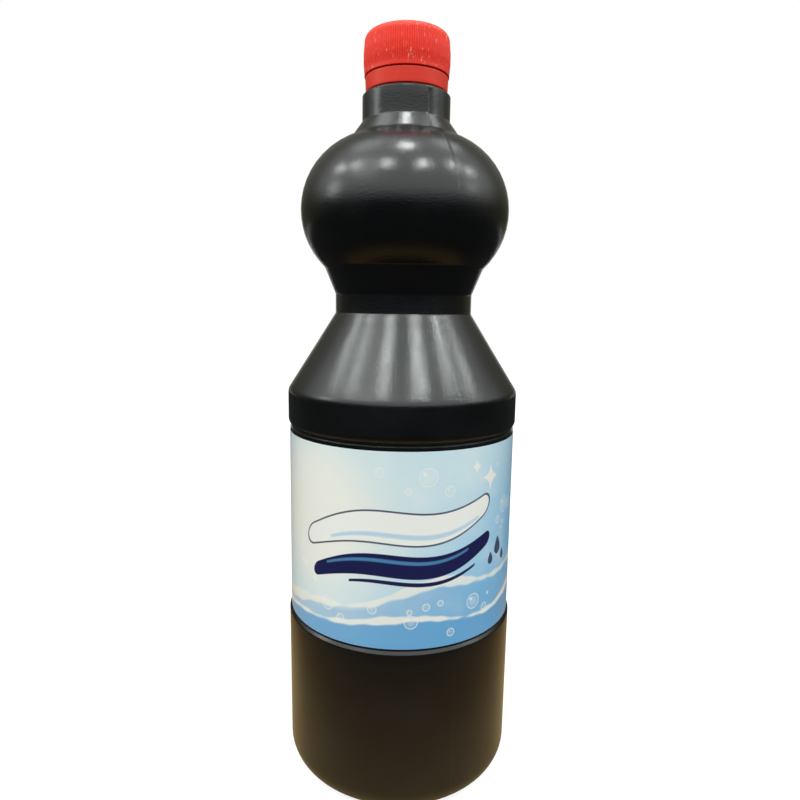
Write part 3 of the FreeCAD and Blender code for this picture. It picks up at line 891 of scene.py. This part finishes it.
@dataclass
class FilmLabel:
    """The printed film: one sheet round the panel, its end lapped over its start at the back.

    Places on the sheet are (u, v): u millimetres along the wrap from the bottle's front to the
    right, and v millimetres up from the sheet's foot.
    """

    foot: float = 62.1
    height: float = 67.0
    inside_radius: float = 41.65
    film: float = 0.1
    lap: float = 12.0
    ramp: float = 1.6
    step: float = 0.6
    finish: PrintedFilm = field(default_factory=PrintedFilm)

    def sheet(self) -> tuple[np.ndarray, np.ndarray, np.ndarray]:
        """The grid of points, and u and v at each.

        The radius is constant, and over the last millimetres before the lap it rises by the
        film's thickness, so that the end lies on the start.

        Returns:
            The points, rows up the face and back down behind it, with u and v in millimetres.
        """
        middle = self.inside_radius + self.film
        half = math.pi * middle
        u = np.linspace(-half - self.lap / 2, half + self.lap / 2, round(2 * half / self.step))[None, :]
        bearing = u / middle
        rise = self.film * smooth_step(u, half - self.lap / 2 - self.ramp, half - self.lap / 2)
        face = np.linspace(0, self.height, round(self.height / self.step))[:, None]
        behind = np.array([[self.height], [self.height / 2], [0.0]])
        v = np.vstack([face, behind])
        radius = self.inside_radius + rise + np.vstack([0 * face + self.film, 0 * behind])
        points = about_axis(radius, bearing, self.foot + v)
        return points, np.broadcast_to(u, points.shape[:2]), np.broadcast_to(v, points.shape[:2])

    def artwork(self, u: np.ndarray, v: np.ndarray) -> dict[str, np.ndarray]:
        """The print, as distances in millimetres to the edges of shapes, below 0 inside them.

        A sash is what lies within width(u) of a waving centre line, with round ends. A wave
        is what lies under a sum of sines, its foam lies within a wavering distance of its
        edge, and a bubble is a circle.

        Args:
            u: Place along the wrap.
            v: Height on the sheet.

        Returns:
            One array for each name that the finish reads.
        """
        def sash(middle: float, height: float, reach: float, width: float) -> np.ndarray:
            """Distance to a sash that slants up to the right along one wave, and tapers."""
            along = (u - middle) / reach
            centre = height + 0.17 * u - 2.6 * np.sin(math.pi * u / 31)
            beyond = np.clip(np.abs(along) - 1, 0, None) * reach
            return np.hypot(v - centre, beyond) - width * (1 - 0.35 * np.clip(along ** 2, 0, 1))

        def foam(edge: np.ndarray, thick: float, phase: float) -> np.ndarray:
            """Distance to the foam: |edge| less a thickness that wavers with three sines."""
            slow, quick = 0.5 * np.sin(u / 9 + phase), 0.16 * np.sin(u / 1.1 - v / 1.4 + phase)
            return np.abs(edge) - thick * (1 + slow + 0.25 * np.sin(u / 2.9 + v / 3) + quick)

        def circles(places: np.ndarray) -> tuple[np.ndarray, np.ndarray]:
            """Distance to the nearest circle, and to the glint near its upper left."""
            across, up, radius = (column[:, None, None] for column in places.T)
            edge = np.hypot(u - across, v - up) - radius
            glint = np.hypot(u - across + 0.4 * radius, v - up - 0.4 * radius) - 0.22 * radius
            return edge.min(axis=0), glint.min(axis=0)

        def teardrop(across: float, foot: float, tall: float) -> np.ndarray:
            """Distance to |u - across| = 0.85 tall sqrt(t) (1 - t)^1.3, at t of its height."""
            t = np.clip((v - foot) / tall, 0, 1)
            return np.abs(u - across) - 0.85 * tall * np.sqrt(t) * (1 - t) ** 1.3 + 0.3 * (t == 0) + 0.3 * (t == 1)

        def star(across: float, up: float, reach: float) -> np.ndarray:
            """Distance to the four-pointed star sqrt|du| + sqrt|dv| = sqrt(reach)."""
            arms = np.sqrt(np.abs(u - across)) + np.sqrt(np.abs(v - up))
            return (arms ** 2 - reach) * 0.5

        seeds = np.random.default_rng(7)
        count = 64
        radius = 0.35 + 2.6 * seeds.random(count) ** 3
        drift = np.stack([seeds.uniform(-134, 134, count), seeds.uniform(12, 62, count), radius], axis=1)
        clear = (np.abs(drift[:, 0]) > 36) | (drift[:, 1] < 17) | (drift[:, 1] > 55)
        afloat = np.array([
            (9, 58.5, 3.0), (16.5, 53.5, 1.7), (-7, 60, 1.6), (2.5, 54, 1.0), (-26, 12.5, 2.4), (-20.5, 8.5, 1.4),
            (-9, 13.5, 1.5), (4, 9.5, 2.2), (9, 14.5, 1.2), (27, 13.5, 2.6), (32.5, 10, 1.3), (44, 44, 2.8),
            (39.5, 39.5, 1.3), (-45, 33, 2.0), (-41.5, 28.5, 1.1), (18, 4.5, 1.3), (-36, 56, 2.2)])
        bubble, glint = circles(np.vstack([drift[clear], afloat]))
        turn = np.mod(u + 132, 264) - 132
        side = np.clip(turn, -50, 50) * smooth_step(-np.abs(turn), -125, -60)
        far = 17 + 0.11 * side + 3.0 * np.sin(u / 17 + 0.8) + 1.3 * np.sin(u / 7.3) - v
        near = 8.5 + 0.11 * side + 2.6 * np.sin(u / 21 + 2.6) + 1.2 * np.sin(u / 9.1 + 1.0) - v
        drop = np.minimum.reduce([teardrop(40, 27, 7.0), teardrop(35.5, 24.5, 4.8), teardrop(44, 24, 4.2)])
        spark = np.minimum.reduce([star(34, 56, 5.5), star(27, 60.5, 3.0), star(-38, 24, 4.5), star(-32, 19.5, 2.6)])
        panel = np.maximum(np.abs(np.abs(turn) - 104) - 19, np.abs(v - 37) - 22)
        glow = np.exp(-((u + 33) / 30) ** 2 - ((v - 43) / 28) ** 2)
        back_glow = np.exp(-((np.abs(turn) - 118) / 30) ** 2 - ((v - 40) / 24) ** 2)
        return {
            "glow": np.maximum(1.15 * glow, 0.6 * back_glow),
            "depth": np.clip(0.24 + 0.014 * side + 0.013 * (30 - v), 0, 1),
            "far_wave": -far,
            "far_foam": foam(far, 1.3, 0.4),
            "near_wave": -near,
            "near_foam": foam(near - 0.4, 0.9, 2.1),
            "bubble": bubble,
            "glint": glint,
            "navy_sash": np.minimum(sash(1, 28.6, 31, 3.9), sash(5, 22.9, 22, 0.7)),
            "sheen": sash(-1, 30.2, 25, 0.6),
            "white_sash": sash(-1, 41.5, 31, 5.2),
            "shade": sash(2, 39.0, 26, 0.8),
            "drop": drop,
            "spark": spark,
            "panel": panel,
        }

    def build(self) -> bpy.types.Object:
        """Make the sheet, print it and place the piece."""
        points, u, v = self.sheet()
        piece = place_mesh("film_label", swept_shell(points), Motion.BOTTLE)
        mesh = piece.data
        for name, values in self.artwork(u, v).items():
            mesh.attributes.new(name, "FLOAT", "POINT").data.foreach_set("value", values.ravel().astype(np.float32))
        corners = np.empty(len(mesh.loops), dtype=np.int32)
        mesh.loops.foreach_get("vertex_index", corners)
        places = np.stack([u.ravel(), v.ravel()], axis=1)[corners] / WRAP_UNIT
        mesh.uv_layers.new(name="wrap").data.foreach_set("uv", places.ravel().astype(np.float32))
        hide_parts("label")
        mesh.materials.append(self.finish.material())
        return piece


# The studio


@dataclass(frozen=True)
class Softbox:
    """A square lamp, placed by its bearing from the front to the right and its elevation."""

    name: str
    bearing: float
    elevation: float
    size: float
    power: float
    colour: str = "#f6fcf7"
    distance: float = 1.3

    def build(self, aim: Vector) -> None:
        """Place the lamp, facing the point that it is aimed at."""
        bearing, elevation = math.radians(self.bearing), math.radians(self.elevation)
        way = Vector((
            math.sin(bearing) * math.cos(elevation), -math.cos(bearing) * math.cos(elevation), math.sin(elevation)))
        data = bpy.data.lights.new(self.name, "AREA")
        data.energy = self.power
        data.size = self.size
        data.color = linear(self.colour)[:3]
        lamp = bpy.data.objects.new(self.name, data)
        lamp.location = aim + way * self.distance
        lamp.rotation_euler = way.to_track_quat("Z", "Y").to_euler()
        bpy.context.scene.collection.objects.link(lamp)


@dataclass
class Studio:
    """The pale floor, the plain lights and the camera at the photograph's viewing angle."""

    camera_place: tuple[float, float, float] = (0.0, -0.2389, 0.1756)
    pitch: float = 8.627
    roll: float = 0.833
    yaw: float = -0.18
    lens: float = 28.82
    sensor: float = 36.0
    floor_size: float = 6.0
    aim: tuple[float, float, float] = (0.0, 0.0, 0.17)
    lamps: tuple[Softbox, ...] = (
        Softbox("overhead", 0, 86, 0.15, 2.9),
        Softbox("right_near", 26, 56, 0.06, 2.8),
        Softbox("right_middle", 70, 50, 0.08, 2.0),
        Softbox("right_far", 88, 40, 0.10, 0.95),
        Softbox("right_high", 122, 63, 0.35, 0.8),
        Softbox("right_window", 78, 25, 0.25, 0.5),
        Softbox("left_near", -27, 56, 0.06, 2.4),
        Softbox("left_middle", -70, 48, 0.08, 1.3),
        Softbox("left_far", -91, 41, 0.10, 1.1),
        Softbox("left_haze", -52, 48, 0.55, 1.5),
        Softbox("left_high", -114, 66, 0.40, 0.8),
        Softbox("left_window", -83, 22, 0.30, 1.0),
    )

    def build_camera(self) -> None:
        """Aim the camera: pitched down and turned by the yaw, then rolled about its own axis."""
        pitch, roll, yaw = (math.radians(angle) for angle in (self.pitch, self.roll, self.yaw))
        level = Vector((math.sin(yaw), math.cos(yaw), 0))
        side = Vector((math.cos(yaw), -math.sin(yaw), 0))
        rise = Vector((0, 0, 1))
        forward = level * math.cos(pitch) - rise * math.sin(pitch)
        above = rise * math.cos(pitch) + level * math.sin(pitch)
        right = side * math.cos(roll) + above * math.sin(roll)
        top = above * math.cos(roll) - side * math.sin(roll)
        data = bpy.data.cameras.new("photograph")
        data.lens = self.lens
        data.sensor_width = self.sensor
        data.clip_start = 0.01
        camera = bpy.data.objects.new("photograph", data)
        turned = Matrix((right, top, -forward)).transposed().to_4x4()
        camera.matrix_world = Matrix.Translation(self.camera_place) @ turned
        bpy.context.scene.collection.objects.link(camera)
        bpy.context.scene.camera = camera

    def white_share(self, tree: bpy.types.NodeTree, backdrop: bpy.types.NodeSocket) -> bpy.types.NodeSocket:
        """How far a ray sees the white background.

        The camera and clear parts see it all round. A reflection sees it where it stands
        behind the bottle, so that the black plastic isn't lifted to grey by a white room.

        Args:
            tree: The floor's or the world's node tree.
            backdrop: 1 where the background stands behind the bottle, and 0 elsewhere.

        Returns:
            The socket that gives the share of white.
        """
        seen = add_node(tree, "ShaderNodeLightPath")
        direct = add_node(tree, "ShaderNodeMath", {
            0: seen.outputs["Is Camera Ray"], 1: seen.outputs["Is Transmission Ray"]}, operation="MAXIMUM")
        mirrored = add_node(tree, "ShaderNodeMath", {
            0: seen.outputs["Is Glossy Ray"], 1: backdrop}, operation="MULTIPLY")
        return add_node(tree, "ShaderNodeMath", {
            0: direct.outputs[0], 1: mirrored.outputs[0]}, operation="MAXIMUM").outputs[0]

    def build_floor(self) -> None:
        """A floor shown white to the camera with the object's soft shadow kept; to other rays it is a painted pool of
        warm light round the bottle that darkens further off.
        """
        half = self.floor_size / 2
        mesh = bpy.data.meshes.new("floor")
        mesh.from_pydata([(-half, -half, 0), (half, -half, 0), (half, half, 0), (-half, half, 0)], [], [(0, 1, 2, 3)])
        floor = bpy.data.objects.new("floor", mesh)
        bpy.context.scene.collection.objects.link(floor)
        material, tree = new_material("studio_floor_white_and_painted_pool")
        place = add_node(tree, "ShaderNodeTexCoord").outputs["Object"]
        centred = add_node(tree, "ShaderNodeMapping", {"Vector": place, "Location": (0, -0.04, 0)})
        away = add_node(tree, "ShaderNodeVectorMath", {0: centred.outputs[0]}, operation="LENGTH")
        fade = add_node(tree, "ShaderNodeMapRange", {
            "Value": away.outputs["Value"], "From Min": 0.03, "From Max": 0.22})
        # Painted light: for reflections and bounced light, the floor is coloured as a pool of warm light round the
        # bottle that turns brown and then dark further off.
        painted_pool_tones = add_node(tree, "ShaderNodeValToRGB", {0: fade.outputs[0]})
        painted_pool_tones.color_ramp.elements[0].color = linear("#c4a878")
        painted_pool_tones.color_ramp.elements[1].color = linear("#2a2a28")
        painted_pool_tones.color_ramp.elements.new(0.5).color = linear("#7d6341")
        painted_pool_floor = add_node(tree, "ShaderNodeBsdfDiffuse", {"Color": painted_pool_tones.outputs[0]})
        card = add_node(tree, "ShaderNodeBsdfDiffuse", {"Color": linear("#fafafa")})
        # Mostly its own light, so that it stays white, and some card, so that it keeps the shadow.
        white = add_node(tree, "ShaderNodeEmission", {"Color": (1, 1, 1, 1), "Strength": 1.15})
        shown = add_node(tree, "ShaderNodeMixShader", {0: 0.72, 1: card.outputs[0], 2: white.outputs[0]})
        parts = add_node(tree, "ShaderNodeSeparateXYZ", {0: place})
        backdrop = add_node(tree, "ShaderNodeMapRange", {"Value": parts.outputs["Y"], "From Min": 1.6, "From Max": 2.6})
        share = self.white_share(tree, backdrop.outputs[0])
        surface = add_node(tree, "ShaderNodeMixShader", {0: share, 1: painted_pool_floor.outputs[0], 2: shown.outputs[0]})
        add_node(tree, "ShaderNodeOutputMaterial", {"Surface": surface.outputs[0]})
        mesh.materials.append(material)

    def build_world(self) -> None:
        """White to the camera; for the object, a ceiling that pales upwards above a dim wall."""
        world = bpy.data.worlds.new("studio_air")
        bpy.context.scene.world = world
        world.use_nodes = True
        tree = world.node_tree
        tree.nodes.clear()
        way = add_node(tree, "ShaderNodeTexCoord").outputs["Generated"]
        parts = add_node(tree, "ShaderNodeSeparateXYZ", {0: way})
        behind = add_node(tree, "ShaderNodeMapRange", {
            "Value": parts.outputs["Y"], "From Min": -0.7, "From Max": 0.2}, interpolation_type="SMOOTHSTEP")
        wall = add_node(tree, "ShaderNodeMix", {
            "Factor": behind.outputs[0], "A": linear("#2d3a40"), "B": linear("#585742")}, data_type="RGBA")
        beyond = add_node(tree, "ShaderNodeMapRange", {
            "Value": parts.outputs["Y"], "From Min": 0.0, "From Max": 0.6}, interpolation_type="SMOOTHSTEP")
        above = add_node(tree, "ShaderNodeMix", {
            "Factor": beyond.outputs[0], "A": (1.6, 1.68, 1.66, 1), "B": (0.28, 0.27, 0.22, 1)}, data_type="RGBA")
        ceiling = add_node(tree, "ShaderNodeMapRange", {
            "Value": parts.outputs["Z"], "From Min": 0.07, "From Max": 0.44}, interpolation_type="SMOOTHSTEP")
        room = add_node(tree, "ShaderNodeMix", {
            "Factor": ceiling.outputs[0], "A": wall.outputs["Result"], "B": above.outputs["Result"]}, data_type="RGBA")
        backdrop = add_node(tree, "ShaderNodeMapRange", {
            "Value": parts.outputs["Y"], "From Min": 0.9, "From Max": 0.98}, interpolation_type="SMOOTHSTEP")
        colour = add_node(tree, "ShaderNodeMix", {
            "Factor": self.white_share(tree, backdrop.outputs[0]), "A": room.outputs["Result"], "B": (1, 1, 1, 1)},
            data_type="RGBA")
        air = add_node(tree, "ShaderNodeBackground", {"Color": colour.outputs["Result"], "Strength": 1.0})
        add_node(tree, "ShaderNodeOutputWorld", {"Surface": air.outputs[0]})

    def build(self) -> None:
        """Build the camera, the floor, the world and the lamps."""
        self.build_camera()
        self.build_floor()
        self.build_world()
        for lamp in self.lamps:
            lamp.build(Vector(self.aim))
        bpy.context.scene.view_settings.view_transform = "Standard"
        log.info("studio: %d lamps", len(self.lamps))


def dress_liner(node: bpy.types.Object) -> None:
    """Give the foam disc under the cap its finish: its solid's shape is right as it is."""
    node.data.materials.clear()
    node.data.materials.append(FoamLiner().material())
    log.info("cap_liner: dressed")


def main() -> None:
    """Build each assembly in turn."""
    logging.basicConfig(level=logging.INFO, format="%(name)s: %(message)s")
    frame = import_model()
    Studio().build()
    BlownBottle().build()
    ScrewCap().build()
    TamperBand().build()
    FilmLabel().build()
    dress_liner(frame["nodes"]["cap_liner"])


if __name__ == "__main__":
    main()
